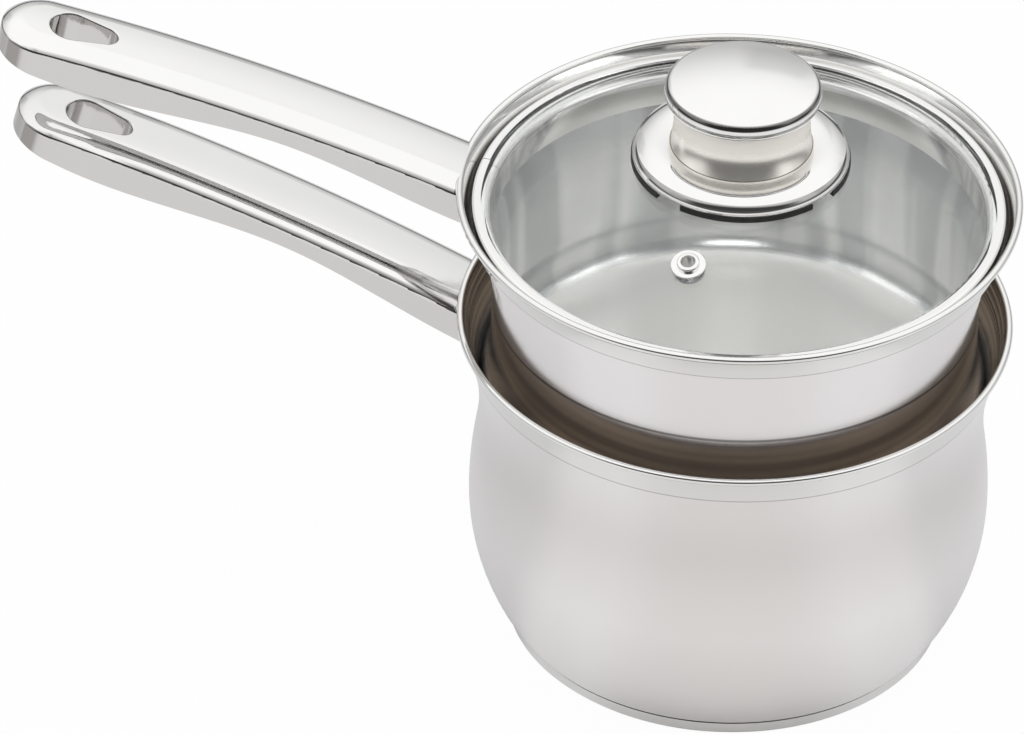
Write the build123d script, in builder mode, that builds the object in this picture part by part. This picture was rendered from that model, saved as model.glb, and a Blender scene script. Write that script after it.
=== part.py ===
from build123d import *
import os
from math import asin, cos, degrees, radians, sin, sqrt

os.makedirs("parts", exist_ok=True)

# Double boiler: a bellied saucepan, an insert pan hung in its mouth and a glass lid.
# Millimetres. The origin is the middle of the underside of the base, +Z is up,
# and both handles point along -X.

# Sheet, clearances and overruns shared by several pieces
pan_sheet = 0.8
lift_clearance = 0.3
weld_gap = 0.05
assembly_gap = 0.1
overrun = 5.0

# Lower pan. Its other outer sizes follow those of its rim.
rim_radius = 89.1
rim_height = 115.2
lip_height = 10.8
lip_flare = 3.9
neck_radius_share = 0.9125
neck_height_share = 0.6988
belly_radius_share = 0.9439
belly_height_share = 0.4036
foot_radius_share = 0.8025
foot_bend = 3.0

# Encapsulated base
base_height = 4.5
base_step = 0.5
base_cap_sheet = 0.6
base_core_inset = 1.8
base_edge_chamfer = 0.9
base_joint_line = 0.35

# Rolled edge of both pans
rim_bead_radius = 1.2
rim_lean = 12.0

# Insert pan. It hangs by the widest ring of its body, a little wider than the neck.
insert_rise = 47.8
insert_rim_step = 0.9
insert_lip_height = 10.6
insert_lip_flare = 4.7
insert_seat_step = 0.5
insert_corner = 9.0
insert_waist_step = 3.1
insert_waist_share = 0.46
insert_waist_foot_share = 0.2

# Handles, one pressed shell and one underside plate for each
handle_root_inset = 0.1
handle_length = 154.0
handle_width = 29.2
handle_sheet = 1.0
handle_shoulder_radius = 8.6
handle_shoulder_angle = 50.0
handle_crease_radius = 1.5
handle_turn_angle = 10.4
handle_root_depth = 12.7
handle_waist_depth = 9.2
handle_bulge_depth = 13.4
handle_end_depth = 10.6
handle_waist_share = 0.36
handle_bulge_share = 0.84
handle_underside_recess = 0.7
handle_root_angle = 24.0
handle_swing_angle = -2.0
insert_handle_root_angle = 19.6
insert_handle_rise = 0.3
hang_hole_end = 15.4
hang_hole_length = 22.0
hang_hole_radius = 6.9
hang_hole_small_radius = 4.2
hang_hole_lip = 0.7

# Bracket that carries each handle on its pan
bracket_sheet = 1.2
bracket_width = 22.0
bracket_height = 30.0
bracket_corner = 5.0
bracket_top_drop = 2.6
tongue_length = 26.0
tongue_width = 13.0
tongue_sheet = 2.4

# Steel band round the lid glass
band_sheet = 0.6
band_bend = 1.0
band_lip = 2.9
band_seat_share = 0.22
band_skirt_step = 7.0
band_skirt_depth = 9.6

# Lid glass
glass_thickness = 3.5
glass_brim = 3.4
glass_rise_share = 0.26
glass_edge_round = 0.8
glass_hole_clearance = 0.6

# Steam vent, an eyelet set through the glass
vent_place = 53.4
vent_azimuth = 261.2
vent_bore = 2.35
vent_sleeve_sheet = 0.6
vent_flange_radius = 5.6
vent_flange_sheet = 0.7
vent_collar_radius = 3.6
vent_collar_height = 1.3
vent_roll_radius = 3.9
vent_roll_sheet = 0.5
vent_washer_radius = 5.0
vent_washer_sheet = 0.8

# Knob gasket and flange
gasket_radius = 34.8
gasket_width = 7.4
gasket_inner_height = 0.6
gasket_notch_count = 4
gasket_notch_angle = 16.0
gasket_notch_azimuth = 57.4
gasket_notch_depth = 3.0
flange_step = 0.3
flange_side_step = 1.4
flange_side_height = 3.3
flange_height = 5.3
flange_crest_step = 8.0
flange_dish_width = 4.1
flange_dish_depth = 0.4
flange_sheet = 0.9
flange_hole_radius = 6.0

# Knob neck and cap
neck_waist_step = 0.8
neck_top_step = 0.7
neck_waist_share = 0.6
knob_neck_height = 15.1
knob_neck_sheet = 1.0
knob_neck_flange = 4.0
cap_overhang = 3.2
cap_lip_step = 0.3
cap_equator_rise = 4.0
cap_side_step = 1.3
cap_side_height = 3.1
cap_dome_rise = 3.0
cap_crease_round = 2.4
cap_sheet = 1.0

# Knob core, its threaded bush, the screw and its washers
bush_radius = 3.6
bush_length = 10.0
bush_bore = 2.0
screw_radius = 1.9
screw_length = 17.0
screw_head_radius = 4.6
screw_head_height = 2.6
screw_head_round = 1.4
screw_slot_width = 1.0
screw_slot_depth = 1.1
washer_radius = 7.0
washer_sheet = 0.9
seal_radius = 8.0
seal_sheet = 1.4


def arc_radius(run, offset):
    """Radius of an arc that leaves a tangent and, after a run along it, lies an offset away."""
    return (run**2 + offset**2) / (2 * offset)


def bead_centre(edge_radius, edge_height):
    """Middle of a rolled edge, as radius and height."""
    return (edge_radius - rim_bead_radius, edge_height - rim_bead_radius)


collar_radius = rim_radius - lip_flare
collar_height = rim_height - lip_height
neck_radius = rim_radius * neck_radius_share
neck_height = rim_height * neck_height_share
belly_radius = rim_radius * belly_radius_share
belly_height = rim_height * belly_height_share
foot_radius = rim_radius * foot_radius_share
base_radius = foot_radius - base_step

insert_rim_radius = rim_radius + insert_rim_step
insert_rim_height = rim_height + insert_rise
insert_collar_radius = insert_rim_radius - insert_lip_flare
insert_collar_height = insert_rim_height - insert_lip_height
insert_seat_radius = neck_radius - pan_sheet + insert_seat_step
insert_waist_radius = insert_seat_radius - insert_waist_step

rim_bead = bead_centre(rim_radius, rim_height)
insert_bead = bead_centre(insert_rim_radius, insert_rim_height)
lean = (sin(radians(rim_lean)), cos(radians(rim_lean)))


def lower_pan_skin():
    """Outside line of the lower pan, from its axis to the middle of the rolled edge."""
    foot = (foot_radius, base_height)
    belly = (belly_radius, belly_height)
    collar = (collar_radius, collar_height)
    neck_arc = arc_radius(collar_height - neck_height, collar_radius - neck_radius)
    both_arcs = arc_radius(neck_height - belly_height, belly_radius - neck_radius)
    share = (both_arcs - neck_arc) / both_arcs
    belly_arc_axis = belly_radius - both_arcs + neck_arc
    neck_arc_axis = neck_radius + neck_arc
    turning_point = (
        (1 - share) * belly_arc_axis + share * neck_arc_axis,
        (1 - share) * belly_height + share * neck_height,
    )
    Line((0, base_height), foot)
    TangentArc(foot, belly, tangent=(0, -1), tangent_from_first=False)
    upper_belly = TangentArc(belly, turning_point, tangent=(0, 1))
    TangentArc(turning_point, collar, tangent=upper_belly % 1)
    TangentArc(collar, rim_bead, tangent=lean)


def flare_height(radius):
    """Height at which the inside of the lower pan's flare reaches a radius."""
    inner_arc = arc_radius(collar_height - neck_height, collar_radius - neck_radius) + pan_sheet
    inner_neck = neck_radius - pan_sheet
    return neck_height + sqrt(inner_arc**2 - (inner_arc - radius + inner_neck) ** 2)


insert_seat_height = flare_height(insert_seat_radius + lift_clearance)
insert_base_height = insert_seat_height - insert_corner
insert_wall_height = insert_rim_height - insert_seat_height
insert_waist_height = insert_seat_height + insert_wall_height * insert_waist_share
insert_waist_foot_height = insert_seat_height + insert_wall_height * insert_waist_foot_share


def insert_skin():
    """Outside line of the insert pan, from its axis to the middle of the rolled edge."""
    corner = (insert_seat_radius - insert_corner, insert_base_height)
    seat = (insert_seat_radius, insert_seat_height)
    waist_foot = (insert_waist_radius, insert_waist_foot_height)
    ring_turn = ((seat[0] + waist_foot[0]) / 2, (seat[1] + waist_foot[1]) / 2)
    waist = (insert_waist_radius, insert_waist_height)
    collar = (insert_collar_radius, insert_collar_height)
    Line((0, insert_base_height), corner)
    TangentArc(corner, seat, tangent=(1, 0))
    ring_top = TangentArc(seat, ring_turn, tangent=(0, 1))
    TangentArc(ring_turn, waist_foot, tangent=ring_top % 1)
    Line(waist_foot, waist)
    TangentArc(waist, collar, tangent=(0, 1))
    TangentArc(collar, insert_bead, tangent=lean)


def pan_plug(skin, floor_height, bead, grow):
    """Filled shape of a pan, grown a little, that trims whatever meets its wall."""
    with BuildPart() as plug:
        with BuildSketch(Plane.XZ):
            with BuildLine():
                skin()
                brim = bead[1] + rim_bead_radius
                Polyline(bead, (bead[0], brim), (0, brim), (0, floor_height))
            make_face()
            offset(amount=grow)
            split(bisect_by=Plane.YZ, keep=Keep.TOP)
        revolve(axis=Axis.Z)
        with BuildSketch(Plane.XZ):
            with Locations(bead):
                Circle(rim_bead_radius + grow)
        revolve(axis=Axis.Z)
    return plug.part


# Lower pan and its encapsulated base

with BuildPart() as lower_pan_body:
    with BuildSketch(Plane.XZ) as lower_pan_wall:
        with BuildLine():
            lower_pan_skin()
            offset(amount=pan_sheet, side=Side.LEFT)
        make_face()
        foot_corners = lower_pan_wall.vertices().sort_by_distance((foot_radius, base_height))
        fillet(foot_corners[0], foot_bend)
        inside_corners = lower_pan_wall.vertices().sort_by_distance(foot_corners[1])
        fillet(inside_corners[0], foot_bend - pan_sheet)
    revolve(axis=Axis.Z)
    with BuildSketch(Plane.XZ):
        with Locations(rim_bead):
            Circle(rim_bead_radius)
    revolve(axis=Axis.Z)
lower_pan_body.part.label = "lower_pan_body"
export_step(lower_pan_body.part, "parts/lower_pan_body.step")

base_cap_height = base_height - base_joint_line
base_core_floor = base_cap_sheet + assembly_gap

with BuildPart() as base_cap:
    with BuildSketch():
        Circle(base_radius)
    extrude(amount=base_cap_height)
    chamfer(base_cap.faces().sort_by(Axis.Z)[0].edges(), base_edge_chamfer)
    offset(amount=-base_cap_sheet, openings=base_cap.faces().sort_by(Axis.Z)[-1])
base_cap.part.label = "base_cap"
export_step(base_cap.part, "parts/base_cap.step")

with BuildPart() as base_core:
    with BuildSketch(Plane.XY.offset(base_core_floor)):
        Circle(base_radius - base_core_inset)
    extrude(amount=base_height - base_core_floor - weld_gap)
base_core.part.label = "base_core"
export_step(base_core.part, "parts/base_core.step")


# Insert pan

with BuildPart() as insert_pan_body:
    with BuildSketch(Plane.XZ):
        with BuildLine():
            insert_skin()
            offset(amount=pan_sheet, side=Side.LEFT)
        make_face()
    revolve(axis=Axis.Z)
    with BuildSketch(Plane.XZ):
        with Locations(insert_bead):
            Circle(rim_bead_radius)
    revolve(axis=Axis.Z)
insert_pan_body.part.label = "insert_pan_body"
export_step(insert_pan_body.part, "parts/insert_pan_body.step")


# Handles. A handle is drawn along its own X, which leaves the pan at the angle of the
# root, and its top face turns down along one large arc towards the tip.

top_arc = handle_length / radians(handle_turn_angle)
handle_reach = top_arc * sin(radians(handle_turn_angle))
handle_root_radius = rim_radius - handle_root_inset
root_reach = handle_root_radius - insert_waist_radius
handle_half = handle_width / 2
tip_middle = handle_reach - handle_half


def top_rise(along):
    """Height of the top face above the line that leaves the root."""
    return sqrt(top_arc**2 - along**2) - top_arc


def handle_top_plane(root_height, root_angle):
    angle = radians(root_angle)
    return Plane(
        origin=(-handle_root_radius, 0, root_height),
        x_dir=(-cos(angle), 0, sin(angle)),
        z_dir=(sin(angle), 0, cos(angle)),
    )


def side_plane(top):
    return Plane(origin=top.origin, x_dir=top.x_dir, z_dir=-top.y_dir)


def station_plane(top, along):
    """Plane on the top face at a distance from the root, square to the face."""
    lean_down = degrees(asin(along / top_arc))
    return Plane(top.location * Location((along, 0, top_rise(along)), (0, lean_down, 0)))


def section_plane(top, along):
    """Plane across the handle at a distance from the root."""
    station = station_plane(top, along)
    return Plane(origin=station.origin, x_dir=station.y_dir, z_dir=station.x_dir)


def half_section(inset):
    """Half of the pressed section: flat top, wide shoulder, tight crease and a skirt."""
    shoulder = handle_shoulder_radius - inset
    crease = handle_crease_radius - inset
    slope = (cos(radians(handle_shoulder_angle)), -sin(radians(handle_shoulder_angle)))
    skirt_place = handle_half - inset
    crease_start = skirt_place - crease * (1 + slope[1])
    flat_end = crease_start + shoulder * slope[1]
    shoulder_drop = -inset - shoulder * (1 - slope[0])
    crease_drop = shoulder_drop - crease * slope[0]
    Line((0, -inset), (flat_end, -inset))
    TangentArc((flat_end, -inset), (crease_start, shoulder_drop), tangent=(1, 0))
    TangentArc((crease_start, shoulder_drop), (skirt_place, crease_drop), tangent=slope)
    Polyline((skirt_place, crease_drop), (skirt_place, -handle_width), (0, -handle_width))


def underside_points(raised):
    """Underside line seen from the side: deep at the root and the tip, slim between."""
    waist = handle_reach * handle_waist_share
    bulge = handle_reach * handle_bulge_share
    past_end = handle_reach + overrun
    return [
        (-root_reach, top_rise(-root_reach) - handle_root_depth + raised),
        (0, -handle_root_depth + raised),
        (waist, top_rise(waist) - handle_waist_depth + raised),
        (bulge, top_rise(bulge) - handle_bulge_depth + raised),
        (handle_reach, top_rise(handle_reach) - handle_end_depth + raised),
        (past_end, top_rise(past_end) - handle_end_depth + raised),
    ]


def side_outline(above, raised):
    """Closed outline seen from the side, from the underside line to a height above it."""
    lower = Spline(*underside_points(raised))
    start = lower @ 0
    end = lower @ 1
    Polyline(start, (start.X, above), (end.X, above), end)


def plate_side_outline():
    """Closed outline of the underside plate seen from the side."""
    upper = Spline(*underside_points(handle_underside_recess + handle_sheet))
    lower = Spline(*underside_points(handle_underside_recess))
    Line(upper @ 0, lower @ 0)
    Line(upper @ 1, lower @ 1)


def eye_outline(grow):
    """Egg-shaped hanging eye, wide towards the tip, drawn about its wide end."""
    spacing = hang_hole_length - hang_hole_radius - hang_hole_small_radius
    with Locations((0, 0)):
        Circle(hang_hole_radius + grow)
    with Locations((-spacing, 0)):
        Circle(hang_hole_small_radius + grow)
    make_hull()


eye_station = handle_reach - hang_hole_end - hang_hole_radius


def lies_on_eye(point):
    """True for a point on the eye's wall at the top face, given from the eye's plane."""
    spacing = hang_hole_length - hang_hole_radius - hang_hole_small_radius
    on_top = abs(point.Z) < handle_sheet / 2
    beside = min(max(-point.X / spacing, 0), 1) * spacing
    radius = hang_hole_radius + beside / spacing * (hang_hole_small_radius - hang_hole_radius)
    return on_top and Vector(point.X + beside, point.Y).length < radius + handle_sheet / 2


def handle_blank(top, inset, outline, *outline_sizes):
    """Solid handle, drawn a sheet smaller for what is inside, and cut by an outline from the side."""
    arc_axis = Axis(top.from_local_coords((0, 0, -top_arc)), top.y_dir)
    tip_plane = station_plane(top, tip_middle)
    with BuildPart() as blank:
        with BuildSketch(section_plane(top, -root_reach)):
            with BuildLine():
                half_section(inset)
                mirror(about=Plane.YZ)
            make_face()
        arc_angle = degrees(asin(root_reach / top_arc) + asin(tip_middle / top_arc))
        revolve(axis=arc_axis, revolution_arc=arc_angle)
        with BuildSketch(section_plane(top, tip_middle)):
            with BuildLine():
                half_section(inset)
                Line((0, -handle_width), (0, -inset))
            make_face()
        revolve(axis=Axis(tip_plane.origin, -tip_plane.z_dir), revolution_arc=180)
        with BuildSketch(side_plane(top).offset(-handle_width)):
            with BuildLine():
                outline(*outline_sizes)
            make_face()
        extrude(amount=2 * handle_width, mode=Mode.INTERSECT)
    return blank.part


def build_handle_shell(top, plug):
    """Pressed upper shell: shoulders, skirts, and an eye with a rolled-in wall."""
    with BuildPart() as shell:
        add(handle_blank(top, 0, side_outline, overrun, 0))
        add(handle_blank(top, handle_sheet, side_outline, overrun, -overrun), mode=Mode.SUBTRACT)
        eye_plane = station_plane(top, eye_station)
        with BuildSketch(eye_plane.offset(-handle_sheet / 2)):
            eye_outline(handle_sheet)
        extrude(amount=-handle_bulge_depth + handle_underside_recess + handle_sheet / 2)
        with BuildSketch(eye_plane.offset(overrun)):
            eye_outline(0)
        extrude(amount=-handle_bulge_depth - 2 * overrun, mode=Mode.SUBTRACT)
        rolled_edges = shell.edges().filter_by(
            lambda edge: lies_on_eye(eye_plane.to_local_coords(edge @ 0.5))
        )
        fillet(rolled_edges, hang_hole_lip)
        add(plug, mode=Mode.SUBTRACT)
    return shell.part


def build_handle_underside(top, clear_of_bracket):
    """Plate welded inside the skirts, a little above their lower edge."""
    inset = handle_sheet + assembly_gap
    with BuildPart() as plate:
        add(handle_blank(top, inset, plate_side_outline))
        with BuildSketch(station_plane(top, eye_station).offset(overrun)):
            eye_outline(inset)
        extrude(amount=-handle_bulge_depth - 2 * overrun, mode=Mode.SUBTRACT)
        add(clear_of_bracket, mode=Mode.SUBTRACT)
    return plate.part


def build_handle_bracket(top, plug, saddle_plug):
    """Saddle plate that follows the pan wall, with a flat tongue inside the handle."""
    saddle_top = top.origin.Z - bracket_top_drop
    tongue_top = -handle_sheet - assembly_gap
    tongue_end = tongue_top + top_rise(tongue_length)
    saddle_place = Plane(
        origin=(0, 0, saddle_top - bracket_height / 2), x_dir=(0, 1, 0), z_dir=(-1, 0, 0)
    )
    with BuildPart() as bracket:
        with BuildSketch(saddle_place):
            RectangleRounded(bracket_width, bracket_height, bracket_corner)
        extrude(amount=handle_root_radius + overrun)
        add(saddle_plug, mode=Mode.INTERSECT)
        with BuildSketch(side_plane(top).offset(-tongue_width / 2)):
            with BuildLine():
                Polyline(
                    (-root_reach, tongue_end),
                    (tongue_length, tongue_end),
                    (tongue_length, tongue_end - tongue_sheet),
                    (-root_reach, tongue_end - tongue_sheet),
                    close=True,
                )
            make_face()
        extrude(amount=tongue_width)
        add(plug, mode=Mode.SUBTRACT)
    return bracket.part


saddle_grow = weld_gap + bracket_sheet
plate_grow = saddle_grow + assembly_gap

handle_top = handle_top_plane(rim_height, handle_root_angle)
handle_swing = Rotation(0, 0, handle_swing_angle)
pan_grown = pan_plug(lower_pan_skin, base_height, rim_bead, weld_gap)
pan_saddle = pan_plug(lower_pan_skin, base_height, rim_bead, saddle_grow)
pan_clear = pan_plug(lower_pan_skin, base_height, rim_bead, plate_grow)

handle_shell = handle_swing * build_handle_shell(handle_top, pan_grown)
handle_shell.label = "handle_shell"
export_step(handle_shell, "parts/handle_shell.step")

handle_underside = handle_swing * build_handle_underside(handle_top, pan_clear)
handle_underside.label = "handle_underside"
export_step(handle_underside, "parts/handle_underside.step")

handle_bracket = handle_swing * build_handle_bracket(handle_top, pan_grown, pan_saddle)
handle_bracket.label = "handle_bracket"
export_step(handle_bracket, "parts/handle_bracket.step")

insert_root_height = insert_rim_height + insert_handle_rise
insert_top = handle_top_plane(insert_root_height, insert_handle_root_angle)
insert_grown = pan_plug(insert_skin, insert_base_height, insert_bead, weld_gap)
insert_saddle = pan_plug(insert_skin, insert_base_height, insert_bead, saddle_grow)
insert_clear = pan_plug(insert_skin, insert_base_height, insert_bead, plate_grow)

insert_handle_shell = build_handle_shell(insert_top, insert_grown)
insert_handle_shell.label = "insert_handle_shell"
export_step(insert_handle_shell, "parts/insert_handle_shell.step")

insert_handle_underside = build_handle_underside(insert_top, insert_clear)
insert_handle_underside.label = "insert_handle_underside"
export_step(insert_handle_underside, "parts/insert_handle_underside.step")

insert_handle_bracket = build_handle_bracket(insert_top, insert_grown, insert_saddle)
insert_handle_bracket.label = "insert_handle_bracket"
export_step(insert_handle_bracket, "parts/insert_handle_bracket.step")


# Lid. Its band rests in the flare between the insert's collar and its rolled edge.

lip_arc = Edge.make_tangent_arc(
    (insert_collar_radius, insert_collar_height), Vector(*lean), Vector(*insert_bead)
)
lip_point = lip_arc @ band_seat_share
lip_tangent = lip_arc % band_seat_share
bend_offset = pan_sheet + lift_clearance + band_bend
band_radius = lip_point.X - lip_tangent.Y * bend_offset + band_bend
band_floor = lip_point.Y + lip_tangent.X * bend_offset - band_bend
band_skirt_radius = insert_collar_radius - band_skirt_step
brim_floor = band_floor + band_sheet + assembly_gap
brim_top = brim_floor + glass_thickness
band_top = brim_top + assembly_gap + band_sheet
glass_radius = band_radius - band_sheet - assembly_gap
dome_edge_radius = glass_radius - glass_brim
glass_rise = dome_edge_radius * glass_rise_share
glass_apex = brim_top + glass_rise
dome_arc = arc_radius(dome_edge_radius, glass_rise)


def dome_height(radius):
    """Height of the top of the glass at a distance from its middle."""
    return glass_apex - dome_arc + sqrt(dome_arc**2 - radius**2)


with BuildPart() as lid_band:
    with BuildSketch(Plane.XZ):
        with BuildLine():
            FilletPolyline(
                (band_radius - band_lip, band_top),
                (band_radius, band_top),
                (band_radius, band_floor),
                (band_skirt_radius, band_floor),
                (band_skirt_radius, band_floor - band_skirt_depth),
                radius=band_bend,
            )
            offset(amount=band_sheet, side=Side.RIGHT)
        make_face()
    revolve(axis=Axis.Z)
lid_band.part.label = "lid_band"
export_step(lid_band.part, "parts/lid_band.step")

vent_turn = radians(vent_azimuth)
vent_lean = asin(vent_place / dome_arc)
vent_out = (cos(vent_turn), sin(vent_turn), 0)
vent_plane = Plane(
    origin=(vent_place * vent_out[0], vent_place * vent_out[1], dome_height(vent_place)),
    x_dir=(-vent_out[1], vent_out[0], 0),
    z_dir=(sin(vent_lean) * vent_out[0], sin(vent_lean) * vent_out[1], cos(vent_lean)),
)
vent_sleeve_radius = vent_bore + vent_sleeve_sheet

with BuildPart() as lid_glass:
    with BuildSketch(Plane.XZ):
        with BuildLine():
            TangentArc((0, glass_apex), (dome_edge_radius, brim_top), tangent=(1, 0))
            Line((dome_edge_radius, brim_top), (glass_radius, brim_top))
            offset(amount=glass_thickness, side=Side.RIGHT)
        make_face()
    revolve(axis=Axis.Z)
    ground_edges = lid_glass.edges().filter_by(
        lambda edge: abs((edge @ 0).X**2 + (edge @ 0).Y**2 - glass_radius**2) < glass_edge_round
    )
    fillet(ground_edges, glass_edge_round)
    with BuildSketch(Plane.XY.offset(glass_apex + overrun)):
        Circle(screw_radius + glass_hole_clearance)
    extrude(amount=-glass_thickness - 2 * overrun, mode=Mode.SUBTRACT)
    with BuildSketch(vent_plane.offset(overrun)):
        Circle(vent_sleeve_radius + assembly_gap)
    extrude(amount=-glass_thickness - 2 * overrun, mode=Mode.SUBTRACT)
lid_glass.part.label = "lid_glass"
export_step(lid_glass.part, "parts/lid_glass.step")

washer_face = -glass_thickness - assembly_gap
roll_face = washer_face - vent_washer_sheet - assembly_gap

with BuildPart() as vent_eyelet:
    with BuildSketch(vent_plane.offset(roll_face)):
        Circle(vent_sleeve_radius)
    extrude(amount=assembly_gap - roll_face)
    with BuildSketch(vent_plane.offset(roll_face)):
        Circle(vent_roll_radius)
    extrude(amount=-vent_roll_sheet)
    with BuildSketch(vent_plane.offset(assembly_gap)):
        Circle(vent_flange_radius)
    extrude(amount=vent_flange_sheet)
    flange_edge = vent_eyelet.edges().sort_by(Axis(vent_plane.origin, vent_plane.z_dir))[-1]
    fillet(flange_edge, vent_flange_sheet / 2)
    with BuildSketch(vent_plane.offset(assembly_gap + vent_flange_sheet)):
        Circle(vent_collar_radius)
    extrude(amount=vent_collar_height)
    collar_top = vent_eyelet.edges().sort_by(Axis(vent_plane.origin, vent_plane.z_dir))[-1]
    fillet(collar_top, (vent_collar_radius - vent_bore) / 2)
    with BuildSketch(vent_plane.offset(overrun)):
        Circle(vent_bore)
    extrude(amount=-glass_thickness - 2 * overrun, mode=Mode.SUBTRACT)
vent_eyelet.part.label = "vent_eyelet"
export_step(vent_eyelet.part, "parts/vent_eyelet.step")

with BuildPart() as vent_washer:
    with BuildSketch(vent_plane.offset(washer_face)):
        Circle(vent_washer_radius)
        Circle(vent_sleeve_radius + assembly_gap, mode=Mode.SUBTRACT)
    extrude(amount=-vent_washer_sheet)
vent_washer.part.label = "vent_washer"
export_step(vent_washer.part, "parts/vent_washer.step")


# Knob, from the glass upwards

gasket_inner_radius = gasket_radius - gasket_width
knob_floor = dome_height(gasket_inner_radius) + gasket_inner_height
seat_arc = dome_arc + assembly_gap

with BuildPart() as knob_gasket:
    with BuildSketch(Plane.XZ):
        with BuildLine():
            inner_foot = (gasket_inner_radius, dome_height(gasket_inner_radius) + assembly_gap)
            outer_foot = (gasket_radius, dome_height(gasket_radius) + assembly_gap)
            RadiusArc(inner_foot, outer_foot, seat_arc)
            Polyline(
                outer_foot,
                (gasket_radius, knob_floor),
                (gasket_inner_radius, knob_floor),
                inner_foot,
            )
        make_face()
    revolve(axis=Axis.Z)
    notch_width = 2 * gasket_radius * sin(radians(gasket_notch_angle / 2))
    with BuildSketch(Plane.XY.offset(knob_floor + overrun)):
        with PolarLocations(gasket_radius, gasket_notch_count, start_angle=gasket_notch_azimuth):
            Rectangle(2 * gasket_notch_depth, notch_width)
    extrude(amount=-gasket_width - 2 * overrun, mode=Mode.SUBTRACT)
knob_gasket.part.label = "knob_gasket"
export_step(knob_gasket.part, "parts/knob_gasket.step")

flange_radius = gasket_radius - flange_step
flange_crest_radius = flange_radius - flange_crest_step
neck_base_radius = flange_crest_radius - flange_dish_width
flange_floor = knob_floor + assembly_gap
flange_crest = flange_floor + flange_height
dish_height = flange_crest - flange_dish_depth

with BuildPart() as knob_flange:
    with BuildSketch(Plane.XZ):
        with BuildLine():
            side_top = (flange_radius - flange_side_step, flange_floor + flange_side_height)
            crest = (flange_crest_radius, flange_crest)
            TangentArc((flange_radius, flange_floor), side_top, tangent=(0, 1))
            TangentArc(side_top, crest, tangent=(1, 0), tangent_from_first=False)
            TangentArc(crest, (neck_base_radius, dish_height), tangent=(-1, 0))
            Line((neck_base_radius, dish_height), (flange_hole_radius, dish_height))
            offset(amount=flange_sheet, side=Side.LEFT)
        make_face()
    revolve(axis=Axis.Z)
knob_flange.part.label = "knob_flange"
export_step(knob_flange.part, "parts/knob_flange.step")

neck_waist_radius = neck_base_radius - neck_waist_step
neck_top_radius = neck_base_radius - neck_top_step
neck_floor = dish_height + assembly_gap
neck_top = neck_floor + knob_neck_height
neck_waist_height = neck_floor + knob_neck_height * neck_waist_share

with BuildPart() as knob_neck:
    with BuildSketch(Plane.XZ):
        with BuildLine():
            Line((neck_base_radius - knob_neck_flange, neck_floor), (neck_base_radius, neck_floor))
            ThreePointArc(
                (neck_base_radius, neck_floor),
                (neck_waist_radius, neck_waist_height),
                (neck_top_radius, neck_top),
            )
            offset(amount=knob_neck_sheet, side=Side.LEFT)
        make_face()
    revolve(axis=Axis.Z)
knob_neck.part.label = "knob_neck"
export_step(knob_neck.part, "parts/knob_neck.step")

cap_radius = neck_top_radius + cap_overhang
cap_lip_radius = neck_top_radius + cap_lip_step
cap_floor = neck_top + assembly_gap
cap_equator = cap_floor + cap_equator_rise
cap_side_top = (cap_radius - cap_side_step, cap_equator + cap_side_height)
cap_apex = cap_side_top[1] + cap_dome_rise

with BuildPart() as knob_cap:
    with BuildSketch(Plane.XZ):
        with BuildLine():
            TangentArc((0, cap_apex), cap_side_top, tangent=(1, 0))
            TangentArc(cap_side_top, (cap_radius, cap_equator), tangent=(0, 1), tangent_from_first=False)
            TangentArc((cap_radius, cap_equator), (cap_lip_radius, cap_floor), tangent=(0, -1))
            offset(amount=cap_sheet, side=Side.RIGHT)
        make_face()
    revolve(axis=Axis.Z)
    crease = knob_cap.edges().sort_by_distance((cap_side_top[0], 0, cap_side_top[1]))[0]
    fillet(crease, cap_crease_round)
knob_cap.part.label = "knob_cap"
export_step(knob_cap.part, "parts/knob_cap.step")

core_floor = glass_apex + assembly_gap
core_radius = neck_waist_radius - knob_neck_sheet - assembly_gap
core_step = neck_floor + knob_neck_sheet + assembly_gap
core_top = cap_side_top[1] - cap_sheet - 2 * assembly_gap
hub_radius = flange_hole_radius - assembly_gap

with BuildPart() as knob_core:
    with BuildSketch(Plane.XY.offset(core_floor)):
        Circle(hub_radius)
    extrude(amount=core_step - core_floor)
    with BuildSketch(Plane.XY.offset(core_step)):
        Circle(core_radius)
    extrude(amount=core_top - core_step)
    with BuildSketch(Plane.XY.offset(core_floor)):
        Circle(bush_radius + assembly_gap)
    extrude(amount=bush_length + assembly_gap, mode=Mode.SUBTRACT)
    with BuildSketch(Plane.XY.offset(core_floor)):
        Circle(bush_bore)
    extrude(amount=screw_length, mode=Mode.SUBTRACT)
knob_core.part.label = "knob_core"
export_step(knob_core.part, "parts/knob_core.step")

with BuildPart() as knob_bush:
    with BuildSketch(Plane.XY.offset(core_floor)):
        Circle(bush_radius)
        Circle(bush_bore, mode=Mode.SUBTRACT)
    extrude(amount=bush_length)
knob_bush.part.label = "knob_bush"
export_step(knob_bush.part, "parts/knob_bush.step")


# Screw and washers that clamp the knob from below

glass_underside = glass_apex - glass_thickness
under_arc = dome_arc - glass_thickness
seal_sag = under_arc - sqrt(under_arc**2 - seal_radius**2)
seal_top = glass_underside - seal_sag - assembly_gap
washer_top = seal_top - seal_sheet - assembly_gap
screw_head_top = washer_top - washer_sheet - assembly_gap
fastener_hole = screw_radius + assembly_gap

with BuildPart() as screw_seal:
    with BuildSketch(Plane.XY.offset(seal_top)):
        Circle(seal_radius)
        Circle(fastener_hole, mode=Mode.SUBTRACT)
    extrude(amount=-seal_sheet)
screw_seal.part.label = "screw_seal"
export_step(screw_seal.part, "parts/screw_seal.step")

with BuildPart() as screw_washer:
    with BuildSketch(Plane.XY.offset(washer_top)):
        Circle(washer_radius)
        Circle(fastener_hole, mode=Mode.SUBTRACT)
    extrude(amount=-washer_sheet)
screw_washer.part.label = "screw_washer"
export_step(screw_washer.part, "parts/screw_washer.step")

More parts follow.
